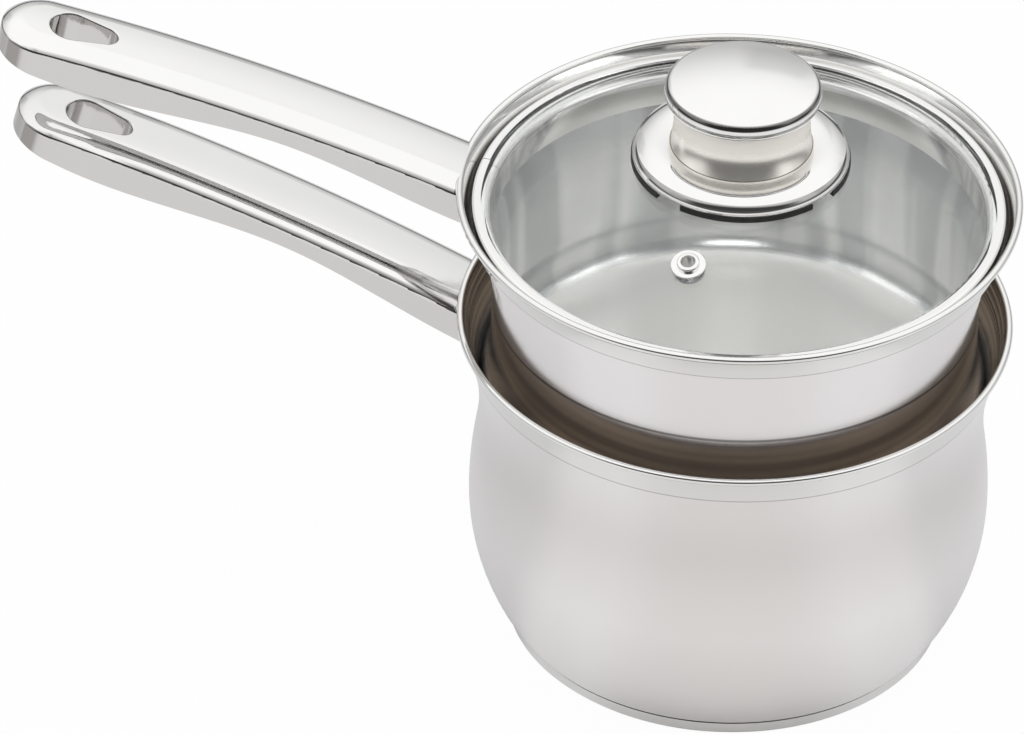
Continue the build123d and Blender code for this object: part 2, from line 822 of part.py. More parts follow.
with BuildPart() as knob_screw:
    with BuildSketch(Plane.XY.offset(screw_head_top)):
        Circle(screw_head_radius)
    extrude(amount=-screw_head_height)
    fillet(knob_screw.edges().sort_by(Axis.Z)[0], screw_head_round)
    with BuildSketch(Plane.XY.offset(screw_head_top)):
        Circle(screw_radius)
    extrude(amount=screw_length)
    with BuildSketch(Plane.XY.offset(screw_head_top - screw_head_height)):
        Rectangle(2 * screw_head_radius, screw_slot_width)
    extrude(amount=screw_slot_depth, mode=Mode.SUBTRACT)
knob_screw.part.label = "knob_screw"
export_step(knob_screw.part, "parts/knob_screw.step")
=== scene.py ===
import math

import bpy
from mathutils import Matrix, Vector


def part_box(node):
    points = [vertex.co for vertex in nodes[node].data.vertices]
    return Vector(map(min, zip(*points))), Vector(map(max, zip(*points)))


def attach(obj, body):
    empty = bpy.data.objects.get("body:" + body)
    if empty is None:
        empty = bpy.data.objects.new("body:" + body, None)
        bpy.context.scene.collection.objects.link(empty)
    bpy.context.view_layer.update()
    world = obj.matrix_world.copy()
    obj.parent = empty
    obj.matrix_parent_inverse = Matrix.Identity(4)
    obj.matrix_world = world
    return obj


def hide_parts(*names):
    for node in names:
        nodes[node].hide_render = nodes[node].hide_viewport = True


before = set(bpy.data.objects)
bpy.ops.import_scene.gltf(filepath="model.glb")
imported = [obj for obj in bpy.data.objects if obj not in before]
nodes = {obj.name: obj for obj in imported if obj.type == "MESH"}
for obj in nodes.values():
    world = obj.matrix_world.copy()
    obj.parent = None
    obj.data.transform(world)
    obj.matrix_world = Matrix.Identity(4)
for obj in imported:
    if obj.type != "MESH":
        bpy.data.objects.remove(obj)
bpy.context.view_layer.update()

print("frame loaded with", len(nodes), "nodes")


# shader building: a wrapped socket takes + - * / and comparisons

class Sock:
    def __init__(self, graph, out):
        self.graph = graph
        self.out = out

    def maths(self, operation, *others):
        values = dict(enumerate((self, *others)))
        return self.graph.add("ShaderNodeMath", {"operation": operation}, values)

    def __add__(self, other):
        return self.maths("ADD", other)

    def __radd__(self, other):
        return self.maths("ADD", other)

    def __sub__(self, other):
        return self.maths("SUBTRACT", other)

    def __rsub__(self, other):
        return self.graph.add("ShaderNodeMath", {"operation": "SUBTRACT"}, {0: other, 1: self})

    def __mul__(self, other):
        return self.maths("MULTIPLY", other)

    def __rmul__(self, other):
        return self.maths("MULTIPLY", other)

    def __truediv__(self, other):
        return self.maths("DIVIDE", other)

    def __gt__(self, other):
        return self.maths("GREATER_THAN", other)

    def __lt__(self, other):
        return self.maths("LESS_THAN", other)

    def power(self, exponent):
        return self.maths("POWER", exponent)

    def largest(self, other):
        return self.maths("MAXIMUM", other)

    def smallest(self, other):
        return self.maths("MINIMUM", other)

    def distance(self, middle):
        return (self - middle).maths("ABSOLUTE")

    def ramp(self, low, high, atLow=0.0, atHigh=1.0):
        # smooth change of a value between two places
        settings = {"interpolation_type": "SMOOTHSTEP", "clamp": True}
        values = {0: self, 1: low, 2: high, 3: atLow, 4: atHigh}
        return self.graph.add("ShaderNodeMapRange", settings, values)


class Graph:
    def __init__(self, tree):
        self.tree = tree
        self.tree.nodes.clear()

    def add(self, kind, settings, values, output=0):
        node = self.tree.nodes.new(kind)
        for key, value in settings.items():
            setattr(node, key, value)
        for key, value in values.items():
            if isinstance(value, Sock):
                self.tree.links.new(value.out, node.inputs[key])
            else:
                node.inputs[key].default_value = value
        return Sock(self, node.outputs[output]) if node.outputs else node

    def outputs(self, kind, *names):
        node = self.tree.nodes.new(kind)
        return [Sock(self, node.outputs[name]) for name in names]

    def split(self, vector):
        node = self.tree.nodes.new("ShaderNodeSeparateXYZ")
        self.tree.links.new(vector.out, node.inputs[0])
        return [Sock(self, out) for out in node.outputs]

    def place(self):
        return self.split(*self.outputs("ShaderNodeTexCoord", "Object"))

    def normal(self):
        return self.split(*self.outputs("ShaderNodeNewGeometry", "Normal"))

    def vector(self, x, y, z):
        return self.add("ShaderNodeCombineXYZ", {}, {0: x, 1: y, 2: z})

    def noise(self, place, pitch, detail=2.0, roughness=0.5):
        # pitch is one number, or one for each part of the place
        pitches = pitch if isinstance(pitch, tuple) else (pitch,) * 3
        where = self.vector(*[part * each for part, each in zip(place, pitches)])
        values = {"Vector": where, "Scale": 1.0, "Detail": detail, "Roughness": roughness}
        return self.add("ShaderNodeTexNoise", {}, values)

    def blendColours(self, share, first, second):
        values = {0: share, 6: first, 7: second}
        return self.add("ShaderNodeMix", {"data_type": "RGBA"}, values, 2)

    def bump(self, height, strength, distance, normal=None):
        values = {"Height": height, "Strength": strength, "Distance": distance}
        if normal is not None:
            values["Normal"] = normal
        return self.add("ShaderNodeBump", {}, values)

    def surface(self, values):
        shader = self.add("ShaderNodeBsdfPrincipled", {}, values)
        self.add("ShaderNodeOutputMaterial", {}, {"Surface": shader})


def newFinish(name):
    material = bpy.data.materials.new(name)
    material.use_nodes = True
    return material, Graph(material.node_tree)


def fromAxis(x, y):
    return (x * x + y * y).power(0.5)


def dress(nodeNames, material):
    for name in nodeNames:
        for slot in nodes[name].material_slots:
            slot.material = material


# turned pieces: the CAD section, spun again in finer steps so that rims and reflections stay smooth

lathe = {"steps": 480, "grid": 1e6, "tiny": 1e-6}


def sectionStrips(mesh):
    # each band between two rings of the CAD mesh: radius, height and normal at both ends
    tiny = lathe["tiny"]
    points = {}
    strips = {}
    discs = {}
    normals = mesh.corner_normals
    for face in mesh.polygons:
        corners = []
        for loop in face.loop_indices:
            place = mesh.vertices[mesh.loops[loop].vertex_index].co
            radius = math.hypot(place.x, place.y)
            normal = normals[loop].vector
            outward = 0.0
            if radius > tiny:
                outward = (normal.x * place.x + normal.y * place.y) / radius
            key = (round(radius * lathe["grid"]), round(place.z * lathe["grid"]))
            points.setdefault(key, (radius, place.z))
            isSeam = abs(place.y) < tiny and place.x > -tiny
            corners.append((key, (outward, normal.z), isSeam))
        keys = {key for key, normal, isSeam in corners}
        if len(keys) == 1:
            discs[corners[0][0]] = (0.0, corners[0][1][1])
        isFlatRing = len(keys) == 2 and len({height for radius, height in keys}) == 1
        for first, second in ((0, 1), (1, 2), (2, 0)):
            lowKey, lowNormal, lowSeam = corners[first]
            highKey, highNormal, highSeam = corners[second]
            if lowKey != highKey and (isFlatRing or lowSeam and highSeam):
                ends = {lowKey: lowNormal, highKey: highNormal}
                strips.setdefault(tuple(sorted((lowKey, highKey))), ends)
    # a flat disc has no point in its middle, so its rim is joined to the axis
    used = [key for ends in strips for key in ends]
    for rim in {key for key in used if used.count(key) == 1 and key in discs}:
        middle = (0, rim[1])
        points[middle] = (0.0, points[rim][1])
        strips[(middle, rim)] = {middle: discs[rim], rim: discs[rim]}
        used += [middle, rim]
    isWhole = all(used.count(key) == (1 if points[key][0] < tiny else 2) for key in used)
    return {key: points[key] for key in used}, strips, isWhole


def turnedPiece(name, node, body, material):
    points, strips, isWhole = sectionStrips(nodes[node].data)
    if not isWhole:
        print("section of", node, "is not one line, so its CAD mesh stays")
        dress([node], material)
        return
    steps = lathe["steps"]
    angles = [step * math.tau / steps for step in range(steps)]
    turns = [(math.cos(angle), math.sin(angle)) for angle in angles]
    rings, spots = {}, []
    for key, (radius, height) in points.items():
        onAxis = radius < lathe["tiny"]
        rings[key] = (len(spots), onAxis)
        if onAxis:
            spots.append((0, 0, height))
        else:
            spots += [(radius * c, radius * s, height) for c, s in turns]
    faces, cornerNormals = [], []
    for (low, high), ends in strips.items():
        lowOnAxis, highOnAxis = rings[low][1], rings[high][1]
        rise = (points[high][1] - points[low][1], points[low][0] - points[high][0])
        flip = rise[0] * ends[low][0] + rise[1] * ends[low][1] < 0
        for step in range(steps):
            after = (step + 1) % steps
            corners = [(low, step), (low, after), (high, after), (high, step)]
            if lowOnAxis:
                corners = [(low, 0), (high, after), (high, step)]
            elif highOnAxis:
                corners = [(low, step), (low, after), (high, 0)]
            if flip:
                corners.reverse()
            faces.append([rings[key][0] + (0 if rings[key][1] else turn) for key, turn in corners])
            for key, turn in corners:
                outward, up = ends[key]
                c, s = turns[turn]
                cornerNormals.append((outward * c, outward * s, up))
    mesh = bpy.data.meshes.new(name)
    mesh.from_pydata(spots, [], faces)
    mesh.materials.append(material)
    mesh.polygons.foreach_set("use_smooth", [True] * len(faces))
    mesh.normals_split_custom_set(cornerNormals)
    piece = bpy.data.objects.new(name, mesh)
    bpy.context.scene.collection.objects.link(piece)
    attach(piece, body)
    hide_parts(node)
    print(name, "turned from", len(strips), "strips,", len(faces), "faces")


# steel of both pans: finely turned outside, bright on the lips, softer inside with streaks of painted
# reflection, and with painted shade and a paler painted-light bottom

panSteel = {
    "lip": (0.84, 0.835, 0.82, 1), "lipRoughness": 0.06, "lipFade": 0.001,
    "wallRoughness": 0.17, "edgeFade": 0.0001,
    "inside": (0.71, 0.715, 0.715, 1), "insideRoughness": 0.24, "insideMetal": 0.78,
    "reflectionStreak": (0.44, 0.45, 0.46, 1), "streakPitch": (4.5, 4.5, 4), "streakRange": (0.47, 0.57),
    "streakShare": 0.85, "streakDetail": 1.5,
    "bottom": (1.0, 0.98, 0.945, 1), "bottomRoughness": 0.3, "bottomMetal": 0.25,
    "bottomFade": (0.004, 0.001),
    "duskMetal": 0.55, "duskFade": 0.001, "duskPitch": (420, 420, 3), "duskRange": (0.38, 0.62),
    "line": (0.22, 0.205, 0.20, 1), "collarHalf": 0.00014, "collarShare": 0.55,
    "footHalf": (0.00045, 0.0003), "seatHalf": (0.0006, 0.0003), "seatShare": 0.8,
    "outsideLean": 0.2, "outsideRange": (-0.05, 0.05), "inwardRange": (-0.3, -0.6),
    "axisGuard": 0.0001, "uprightFade": (0.0012, 0.0006),
    "groovePitch": (1500, 1500, 6), "grooveRoughness": 0.06, "grooveHeight": 0.5,
    "cloudPitch": (14, 14, 5), "cloudRoughness": 0.04, "cloudHeight": 0.3,
    "anisotropy": 0.55, "anisotropyTurn": 0.25, "bump": 0.08, "bumpDepth": 0.0001,
}


def panMasks(g, look, place, normal):
    x, y, z = place
    nx, ny, nz = normal
    outward = (nx * x + ny * y) / (fromAxis(x, y) + panSteel["axisGuard"])
    outside = (outward - nz * panSteel["outsideLean"]).ramp(*panSteel["outsideRange"])
    fade = panSteel["edgeFade"]
    wall = outside * z.ramp(look["collar"] + fade, look["collar"] - fade)
    lip = z.ramp(look["lip"] - panSteel["lipFade"], look["lip"])
    inside = (1 - outside) * (1 - lip)
    bottom = inside * z.ramp(*[look["bottom"] + fade for fade in panSteel["bottomFade"]])
    # the shade that the other rim throws on the inside of this one
    dusk = inside.largest(outward.ramp(*panSteel["inwardRange"])) * z.ramp(*look["dusk"])
    dusk = dusk * z.ramp(look["duskEnd"] + panSteel["duskFade"], look["duskEnd"])
    return outside, wall, inside, bottom, dusk


def panFinish(name, look):
    material, g = newFinish(name)
    x, y, z = g.place()
    nx, ny, nz = g.normal()
    radius = fromAxis(x, y)
    outside, wall, inside, bottom, dusk = panMasks(g, look, (x, y, z), (nx, ny, nz))
    grooves = g.noise((radius, z, x), panSteel["groovePitch"], 3.0)
    fine = g.noise((radius, z, y), panSteel["duskPitch"], 4.0, 0.7)
    cloud = g.noise((x, y, z), panSteel["cloudPitch"])
    # upright streaks of painted reflection on the inner wall
    streaks = g.noise((x / radius, y / radius, z), panSteel["streakPitch"], panSteel["streakDetail"])
    streaks = streaks.ramp(*panSteel["streakRange"]) * panSteel["streakShare"]
    insideColour = g.blendColours(streaks, panSteel["inside"], panSteel["reflectionStreak"])
    duskColour = g.blendColours(fine.ramp(*panSteel["duskRange"]), *look["duskColours"])
    # painted shade: a darker band round the middle of the outer wall
    middle = z.distance(look["middle"]).ramp(look["middleHalf"], 0.0) * wall
    # dark thin rings: painted shade under the collar, a dark joint at the base, and a painted reflection
    # of the lower rim's dark line where the insert's seat begins
    half = panSteel["collarHalf"]
    shadeAndJointLines = z.distance(look["collar"]).ramp(half * 2, half) * panSteel["collarShare"]
    shadeAndJointLines = shadeAndJointLines.largest(z.distance(look["foot"]).ramp(*panSteel["footHalf"])) * outside
    seat = z.distance(look["seat"]).ramp(*panSteel["seatHalf"]) * outside
    colour = g.blendColours(wall, panSteel["lip"], look["wall"])
    colour = g.blendColours(inside, colour, insideColour)
    # painted light: the bottom gets a paler steel than the inside wall, so that it looks brightly lit
    colour = g.blendColours(bottom, colour, panSteel["bottom"])
    colour = g.blendColours(dusk, colour, duskColour)
    colour = g.blendColours(middle, colour, look["middleShadeColour"])
    colour = g.blendColours(shadeAndJointLines, colour, panSteel["line"])
    colour = g.blendColours(seat * panSteel["seatShare"], colour, panSteel["line"])
    rough = wall * (panSteel["wallRoughness"] - panSteel["lipRoughness"]) + panSteel["lipRoughness"]
    rough = rough + inside * (panSteel["insideRoughness"] - panSteel["lipRoughness"])
    rough = rough + bottom * (panSteel["bottomRoughness"] - panSteel["insideRoughness"])
    rough = rough + (grooves - 0.5) * panSteel["grooveRoughness"] * wall
    rough = rough + (cloud - 0.5) * panSteel["cloudRoughness"]
    height = grooves * wall * panSteel["grooveHeight"] + cloud * panSteel["cloudHeight"]
    metal = 1 - inside * (1 - panSteel["insideMetal"])
    metal = metal - bottom * (panSteel["insideMetal"] - panSteel["bottomMetal"])
    metal = metal.smallest(1 - dusk * (1 - panSteel["duskMetal"]))
    # part of the wall is shaded as if it stood straight up
    low, high = look["upright"]
    lowFade, highFade = panSteel["uprightFade"]
    upright = z.ramp(low, low + lowFade) * outside
    upright = upright * z.ramp(high + highFade, high) * look["uprightShare"]
    facing = [nx + (x / radius - nx) * upright, ny + (y / radius - ny) * upright, nz * (1 - upright)]
    relief = g.bump(height, panSteel["bump"], panSteel["bumpDepth"], g.vector(*facing))
    g.surface({
        "Base Color": colour, "Metallic": metal, "Roughness": rough, "Normal": relief,
        "Anisotropic": panSteel["anisotropy"], "Anisotropic Rotation": panSteel["anisotropyTurn"],
    })
    return material


nowhere = -1.0  # a height that no point of a pan has
lowerFoot, lowerTop = (corner.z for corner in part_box("lower_pan_body"))
insertFoot, insertTop = (corner.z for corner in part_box("insert_pan_body"))
lowerLook = {
    "wall": (0.89, 0.868, 0.858, 1), "collar": lowerTop - 0.0108, "lip": lowerTop - 0.0022,
    "foot": 0.0046, "seat": nowhere, "bottom": lowerFoot,
    "dusk": (lowerTop - 0.026, lowerTop - 0.012), "duskEnd": 1.0,
    "duskColours": ((0.19, 0.16, 0.13, 1), (0.72, 0.62, 0.5, 1)),
    "middle": 0.075, "middleHalf": 0.032, "middleShadeColour": (0.765, 0.74, 0.73, 1),
    "upright": (0.0, 1.0), "uprightShare": 0.0,
}
insertLook = {
    "wall": (0.835, 0.812, 0.812, 1), "collar": insertTop - 0.0106, "lip": insertTop - 0.005,
    "foot": nowhere, "seat": insertTop - 0.0404, "bottom": insertFoot,
    "dusk": (insertTop - 0.010, insertTop - 0.0082), "duskEnd": insertTop - 0.0065,
    "duskColours": ((0.26, 0.24, 0.22, 1), (0.38, 0.36, 0.33, 1)),
    "middle": nowhere, "middleHalf": 0.03, "middleShadeColour": (0.8, 0.775, 0.76, 1),
    "upright": (insertTop - 0.0415, insertTop - 0.0106), "uprightShare": 0.92,
}
lowerSteel = panFinish("lowerPanSteel", lowerLook)
insertSteel = panFinish("insertPanSteel", insertLook)
turnedPiece("lowerPan", "lower_pan_body", "lower_pan", lowerSteel)
turnedPiece("insertPan", "insert_pan_body", "insert_pan", insertSteel)


# polished steel of the base, the handles, the band, the vent and the knob

polish = {
    "colour": (0.86, 0.855, 0.845, 1), "shaded": 0.94, "shadedShare": 0.25, "shadedRange": (0.3, 0.7),
    "streakPitch": 1200, "alongPitch": 12, "streakRoughness": 0.04,
    "cloudPitch": 40, "cloudRoughness": 0.03, "bump": 0.02, "bumpDepth": 0.00005,
}


def polishedFinish(name, roughness, slope=None, linesAndPaintedShade=None, look=None):
    # the function given after the slope draws over the steel a piece's own dark joints, and its painted
    # shade and painted reflections
    material, g = newFinish(name)
    x, y, z = g.place()
    pitch = polish["streakPitch"]
    if slope is None:
        streaks = g.noise((fromAxis(x, y), z, 0.0), pitch)
    else:
        along = x * math.cos(slope) - z * math.sin(slope)
        across = x * math.sin(slope) + z * math.cos(slope)
        streaks = g.noise((along, y, across), (polish["alongPitch"], pitch, pitch))
    cloud = g.noise((x, y, z), polish["cloudPitch"], 3.0)
    rough = (streaks - 0.5) * polish["streakRoughness"]
    rough = rough + (cloud - 0.5) * polish["cloudRoughness"] + roughness
    shaded = [part * polish["shaded"] for part in polish["colour"][:3]] + [1]
    share = cloud.ramp(*polish["shadedRange"]) * polish["shadedShare"]
    shade = g.blendColours(share, polish["colour"], shaded)
    if linesAndPaintedShade is not None:
        shade = linesAndPaintedShade(g, (x, y, z), shade, look)
    g.surface({
        "Base Color": shade, "Metallic": 1.0, "Roughness": rough,
        "Normal": g.bump(streaks, polish["bump"], polish["bumpDepth"]),
    })
    return material


dress(["base_cap"], polishedFinish("baseSteel", 0.16))

# handles, with painted shade on the far half of the flat, in the crease above the near skirt, at the tip
# and on the skirt

handleLook = {
    "roughness": 0.09, "near": -0.006, "far": 0.0145, "flat": (0.3, 0.7),
    "farShadeColour": (0.35, 0.35, 0.35, 1),
    "creaseStart": (-0.66, -0.74), "creaseEnd": (-0.96, -0.9), "creaseShare": 0.8,
    "tip": (-0.45, -0.85), "tipShare": 0.6, "creaseShadeColour": (0.2, 0.19, 0.18, 1),
    "skirt": (0.35, 0.1), "skirtShare": 0.42, "skirtShadeColour": (0.45, 0.42, 0.39, 1),
}
lowerHandle = {"turn": math.radians(2), "slope": math.radians(24), "farShare": 0.22}
insertHandle = {"turn": 0.0, "slope": math.radians(19.6), "farShare": 0.3}


def handlePaintedShade(g, place, shade, look):
    x, y, z = place
    nx, ny, nz = g.normal()
    across = y * math.cos(look["turn"]) - x * math.sin(look["turn"])
    # painted shade: the far half of the flat is darkened
    far = across.ramp(handleLook["near"], handleLook["far"]) * nz.ramp(*handleLook["flat"])
    shade = g.blendColours(far * look["farShare"], shade, handleLook["farShadeColour"])
    # painted shade: the crease above the near skirt and the rounded tip are darkened
    crease = ny.ramp(*handleLook["creaseStart"]) * ny.ramp(*handleLook["creaseEnd"])
    tip = nx.ramp(*handleLook["tip"]) * handleLook["tipShare"]
    dark = (crease * handleLook["creaseShare"]).largest(tip)
    shade = g.blendColours(dark, shade, handleLook["creaseShadeColour"])
    # painted shade: the skirt, which faces sideways and down, is darkened
    skirt = nz.ramp(*handleLook["skirt"]) * handleLook["skirtShare"]
    return g.blendColours(skirt, shade, handleLook["skirtShadeColour"])


def handleFinish(name, look):
    return polishedFinish(name, handleLook["roughness"], look["slope"], handlePaintedShade, look)


dress(["handle_shell", "handle_underside"], handleFinish("handleSteel", lowerHandle))
dress(["insert_handle_shell", "insert_handle_underside"],
      handleFinish("insertHandleSteel", insertHandle))

# plain metals and moulded pieces, mostly out of sight

metalGrain = {"pitch": 300, "roughness": 0.12, "bump": 0.1, "depth": 0.0002}
mouldGrain = {"pitch": 900, "roughness": 0.2, "bump": 0.15, "depth": 0.0002}


def plainMetal(name, colour, roughness):
    material, g = newFinish(name)
    cloud = g.noise(g.place(), metalGrain["pitch"], 3.0)
    g.surface({
        "Base Color": colour, "Metallic": 1.0,
        "Roughness": (cloud - 0.5) * metalGrain["roughness"] + roughness,
        "Normal": g.bump(cloud, metalGrain["bump"], metalGrain["depth"]),
    })
    return material


def mouldedFinish(name, colour, roughness):
    material, g = newFinish(name)
    grain = g.noise(g.place(), mouldGrain["pitch"])
    g.surface({
        "Base Color": colour, "Roughness": (grain - 0.5) * mouldGrain["roughness"] + roughness,
        "Normal": g.bump(grain, mouldGrain["bump"], mouldGrain["depth"]),
    })
    return material


dress(["handle_bracket", "insert_handle_bracket"],
      plainMetal("bracketSteel", (0.7, 0.7, 0.7, 1), 0.25))
dress(["knob_bush"], plainMetal("brassBush", (0.78, 0.6, 0.3, 1), 0.3))
dress(["knob_screw", "screw_washer", "vent_washer"],
      plainMetal("platedSteel", (0.68, 0.69, 0.7, 1), 0.28))
dress(["base_core"], plainMetal("aluminiumCore", (0.78, 0.78, 0.79, 1), 0.35))
dress(["knob_gasket", "screw_seal"],
      mouldedFinish("blackSilicone", (0.012, 0.012, 0.012, 1), 0.55))
dress(["knob_core"], mouldedFinish("blackCore", (0.03, 0.03, 0.03, 1), 0.5))

# lid band, with the joint where its strip meets

bandLook = {"roughness": 0.06, "seam": math.radians(174.5), "seamHalf": (0.00018, 0.00009)}


def bandSeam(g, place, shade, look):
    x, y, z = place
    along = x * math.cos(look["seam"]) + y * math.sin(look["seam"])
    across = (x * math.sin(look["seam"]) - y * math.cos(look["seam"])).distance(0)
    joint = across.ramp(*look["seamHalf"]) * (along > 0)
    return g.blendColours(joint, shade, panSteel["line"])


bandSteel = polishedFinish("bandSteel", bandLook["roughness"], linesAndPaintedShade=bandSeam, look=bandLook)
turnedPiece("lidBand", "lid_band", "lid", bandSteel)

# cap and rose of the knob: a painted dark reflection on the tight bend round each, and a dark line where
# the neck stands

knobLook = {
    "roughness": 0.035, "bendReflectionColour": (0.12, 0.115, 0.11, 1), "footColour": (0.2, 0.15, 0.1, 1),
    "footRadius": (0.0229, 0.0226), "footShare": 0.8,
}
capLook = {"bend": 0.53, "half": 0.32, "share": 0.85, "footBelow": 0.0}
roseLook = {"bend": 0.55, "half": 0.2, "share": 0.5, "footBelow": 1.0}


def knobReflectionAndFootLine(g, place, shade, look):
    x, y, z = place
    nx, ny, nz = g.normal()
    # painted reflection: a dark band on the tight bend, where the dark side of the room would be mirrored
    bend = nz.distance(look["bend"]).ramp(look["half"], look["half"] * 0.5)
    shade = g.blendColours(bend * look["share"], shade, knobLook["bendReflectionColour"])
    foot = fromAxis(x, y).ramp(*knobLook["footRadius"]) * (z < look["footBelow"])
    return g.blendColours(foot * knobLook["footShare"], shade, knobLook["footColour"])


def knobFinish(name, look):
    return polishedFinish(name, knobLook["roughness"], linesAndPaintedShade=knobReflectionAndFootLine, look=look)


dress(["vent_eyelet"], polishedFinish("lidSteel", knobLook["roughness"]))
dress(["knob_cap"], knobFinish("capSteel", capLook))
dress(["knob_flange"], knobFinish("roseSteel", roseLook))

# neck of the knob: brushed cream above, polished below; pairs are for its foot and its top

neckLook = {
    "colour": (1.0, 0.965, 0.905, 1), "cloudColour": (0.88, 0.84, 0.78, 1), "cloudShare": 0.2,
    "cloudRange": (0.3, 0.7), "cloudPitch": 60, "change": (0.4, 0.78),
    "metal": (0.9, 0.15), "roughness": (0.23, 0.4), "leanFrom": 0.88, "lean": 0.5,
    "turningPitch": 1500, "turningRoughness": 0.04, "bump": 0.03, "bumpDepth": 0.00005,
}


def neckFinish():
    material, g = newFinish("neckSteel")
    x, y, z = g.place()
    foot, top = (corner.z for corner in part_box("knob_neck"))
    height = (z - foot) / (top - foot)
    turning = g.noise((z, 0.0, 0.0), neckLook["turningPitch"])
    cloud = g.noise((x, y, z), neckLook["cloudPitch"], 3.0)
    share = cloud.ramp(*neckLook["cloudRange"]) * neckLook["cloudShare"]
    rough = height.ramp(*neckLook["change"], *neckLook["roughness"])
    # the foot flares softly, so its shading leans upwards
    nx, ny, nz = g.normal()
    lean = height.ramp(neckLook["leanFrom"], 0.0) * neckLook["lean"]
    leaning = g.vector(nx, ny, nz + lean)
    g.surface({
        "Base Color": g.blendColours(share, neckLook["colour"], neckLook["cloudColour"]),
        "Metallic": height.ramp(*neckLook["change"], *neckLook["metal"]),
        "Roughness": rough + (turning - 0.5) * neckLook["turningRoughness"],
        "Normal": g.bump(turning, neckLook["bump"], neckLook["bumpDepth"], leaning),
    })
    return material


dress(["knob_neck"], neckFinish())

# glass of the lid, which lets light through to the pan below

glassLook = {
    "colour": (0.985, 0.995, 0.99, 1), "ior": 1.5, "haze": 0.01, "cloudPitch": 60,
    "shadow": (0.97, 0.98, 0.975, 1),
}


def glassFinish():
    material, g = newFinish("clearGlass")
    cloud = g.noise(g.place(), glassLook["cloudPitch"])
    glass = g.add("ShaderNodeBsdfPrincipled", {}, {
        "Base Color": glassLook["colour"], "Roughness": cloud * glassLook["haze"],
        "IOR": glassLook["ior"], "Transmission Weight": 1.0,
    })
    clear = g.add("ShaderNodeBsdfTransparent", {}, {"Color": glassLook["shadow"]})
    isShadow, = g.outputs("ShaderNodeLightPath", "Is Shadow Ray")
    mixed = g.add("ShaderNodeMixShader", {}, {0: isShadow, 1: glass, 2: clear})
    g.add("ShaderNodeOutputMaterial", {}, {"Surface": mixed})
    return material


dress(["lid_glass"], glassFinish())
print("finishes set")


# the camera, in degrees and metres: turned round the part, above it, and with a long lens

cameraLook = {
    "azimuth": 9.25, "elevation": 36.37, "roll": 1.19, "distance": 2.946,
    "aside": 0.0709, "above": 0.07069, "aim": 0.0045,
    "focalPixels": 9000, "imageWidth": 1024, "sensor": 36, "reach": 50,
}
cameraTurn = math.radians(cameraLook["azimuth"])


def makeCamera():
    tilt = math.radians(cameraLook["elevation"])
    roll = math.radians(cameraLook["roll"])
    right = Vector((math.cos(cameraTurn), math.sin(cameraTurn), 0))
    ahead = Vector((-math.sin(cameraTurn), math.cos(cameraTurn), 0))
    forward = ahead * math.cos(tilt) - Vector((0, 0, math.sin(tilt)))
    up = ahead * math.sin(tilt) + Vector((0, 0, math.cos(tilt)))
    place = Vector((0, 0, cameraLook["aim"])) - right * cameraLook["aside"]
    place = place + up * cameraLook["above"] - forward * cameraLook["distance"]
    turnedRight = right * math.cos(roll) + up * math.sin(roll)
    turnedUp = up * math.cos(roll) - right * math.sin(roll)
    camera = bpy.data.objects.new("camera", bpy.data.cameras.new("camera"))
    bpy.context.scene.collection.objects.link(camera)
    sensor = cameraLook["sensor"]
    camera.data.lens = cameraLook["focalPixels"] / cameraLook["imageWidth"] * sensor
    camera.data.sensor_width = sensor
    camera.data.clip_end = cameraLook["reach"]
    axes = Matrix((turnedRight, turnedUp, -forward)).transposed().to_4x4()
    camera.matrix_world = Matrix.Translation(place) @ axes
    bpy.context.scene.camera = camera


def showsWhite(g):
    # rays that reach the floor or the world from the camera, straight or through the glass alone
    names = ("Is Camera Ray", "Is Transmission Ray", "Glossy Depth")
    isCamera, isThrough, mirrored = g.outputs("ShaderNodeLightPath", *names)
    return isCamera.largest(isThrough * (mirrored < 0.5))


# the floor: a pale card, a little darker in front of the part with painted shade, that mirrors paler on
# both sides of the part with painted light

floorLook = {
    "half": 3.0, "drop": 0.0002, "colour": (0.71, 0.71, 0.72, 1), "glow": 0.97,
    "front": (0.7, 0.695, 0.69, 1), "frontRange": (0.75, 0.95),
    "mirrored": (0.03, 0.35), "sidesAt": 0.6, "sidesHalf": (0.4, 0.1), "axisGuard": 0.001,
}


def makeFloor():
    half = floorLook["half"]
    corners = [(-half, -half, 0), (half, -half, 0), (half, half, 0), (-half, half, 0)]
    mesh = bpy.data.meshes.new("floor")
    mesh.from_pydata(corners, [], [(0, 1, 2, 3)])
    floor = bpy.data.objects.new("floor", mesh)
    bpy.context.scene.collection.objects.link(floor)
    material, g = newFinish("floorCard")
    x, y, z = g.place()
    away = fromAxis(x, y) + floorLook["axisGuard"]
    facing = (x * math.sin(cameraTurn) - y * math.cos(cameraTurn)) / away
    # painted shade: the card is a little darker in front of the part, towards the camera
    front = facing.ramp(*floorLook["frontRange"])
    card = g.blendColours(front, floorLook["colour"], floorLook["front"])
    plain = g.add("ShaderNodeBsdfDiffuse", {}, {"Color": card})
    glow = g.add("ShaderNodeEmission", {}, {"Color": (1, 1, 1, 1), "Strength": 1.0})
    isMirrored, = g.outputs("ShaderNodeLightPath", "Is Glossy Ray")
    # painted light: in reflections the card glows paler on both sides of the part
    sides = facing.distance(floorLook["sidesAt"])
    sides = sides.ramp(*floorLook["sidesHalf"], *floorLook["mirrored"])
    share = (showsWhite(g) * floorLook["glow"]).largest(isMirrored * sides)
    mixed = g.add("ShaderNodeMixShader", {}, {0: share, 1: plain, 2: glow})
    g.add("ShaderNodeOutputMaterial", {}, {"Surface": mixed})
    mesh.materials.append(material)
    floor.location.z = -floorLook["drop"]


# the room: white tent overhead and at the sides, dark at the horizon and behind the camera

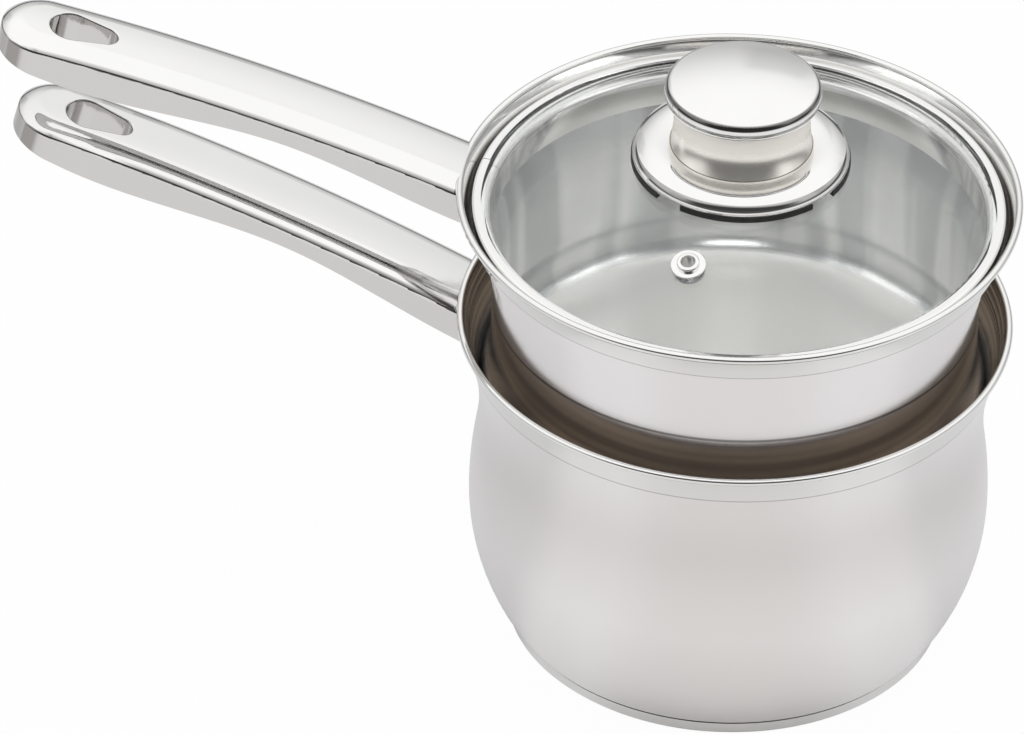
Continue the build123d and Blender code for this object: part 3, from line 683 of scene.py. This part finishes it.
room = {
    "low": 0.58, "overhead": 1.12, "overheadRange": (0.1, 0.72),
    "sides": 0.95, "sidesRange": (0.6, 0.95), "sidesRise": (0.1, 0.3),
    "horizon": 0.14, "horizonRange": (0.15, 0.06),
    "panels": 9, "panelShade": 0.16, "panelRange": (0.1, 0.75),
    "panelStart": (0.1, 0.25), "panelEnd": (0.55, 0.45),
    "front": 0.09, "frontRange": (0.35, 0.75), "frontEnd": (0.8, 0.66),
    "narrowFrom": 0.45, "narrowing": 1.6, "zenithGuard": 0.0001,
}


def makeWorld():
    world = bpy.data.worlds.new("studio")
    bpy.context.scene.world = world
    world.use_nodes = True
    g = Graph(world.node_tree)
    dx, dy, dz = g.split(*g.outputs("ShaderNodeTexCoord", "Generated"))
    flat = (1 - dz * dz).largest(room["zenithGuard"]).power(0.5)
    facing = (dx * math.sin(cameraTurn) - dy * math.cos(cameraTurn)) / flat
    beside = (dx * math.cos(cameraTurn) + dy * math.sin(cameraTurn)).distance(0) / flat
    level = dz.ramp(*room["overheadRange"], room["low"], room["overhead"])
    sides = beside.ramp(*room["sidesRange"]) * dz.ramp(*room["sidesRise"])
    level = level + (room["sides"] - level).largest(0) * sides
    level = level + (room["horizon"] - level) * dz.ramp(*room["horizonRange"])
    # the tent's panels, seen in the insert's wall
    panel = (dy.maths("ARCTAN2", dx) * room["panels"]).maths("SINE").ramp(*room["panelRange"])
    panel = panel * room["panelShade"] * dz.ramp(*room["panelStart"]) * dz.ramp(*room["panelEnd"])
    level = level * (1 - panel)
    # the dark side of the room, behind the camera, narrower towards its top
    narrowing = (dz - room["narrowFrom"]).largest(0) * room["narrowing"]
    dark = (facing - narrowing).ramp(*room["frontRange"]) * dz.ramp(*room["frontEnd"])
    level = level + (room["front"] - level) * dark
    level = level + (1 - level) * showsWhite(g)
    values = {"Color": (1, 1, 1, 1), "Strength": level}
    back = g.add("ShaderNodeBackground", {}, values)
    g.add("ShaderNodeOutputWorld", {}, {"Surface": back})


# softboxes, which light the part and don't show in the steel

lampLook = [
    {"name": "leftSoftbox", "place": (-0.9, -0.35, 0.75), "aim": (0, 0, 0.05), "size": 0.7, "power": 1.5},
    {"name": "frontSoftbox", "place": (0.2, -1.25, 0.95), "aim": (0, 0, 0.08), "size": 0.6, "power": 5.0},
    {"name": "rightSoftbox", "place": (0.95, -0.15, 0.7), "aim": (0, 0, 0.05), "size": 0.6, "power": 1.5},
]


def makeLamps():
    for look in lampLook:
        data = bpy.data.lights.new(look["name"], "AREA")
        data.size = look["size"]
        data.energy = look["power"]
        lamp = bpy.data.objects.new(look["name"], data)
        bpy.context.scene.collection.objects.link(lamp)
        lamp.visible_glossy = False
        lamp.location = look["place"]
        aim = Vector(look["aim"]) - Vector(look["place"])
        lamp.rotation_euler = aim.to_track_quat("-Z", "Y").to_euler()


makeCamera()
makeFloor()
makeWorld()
makeLamps()
bpy.context.scene.view_settings.view_transform = "Standard"
print("studio set")
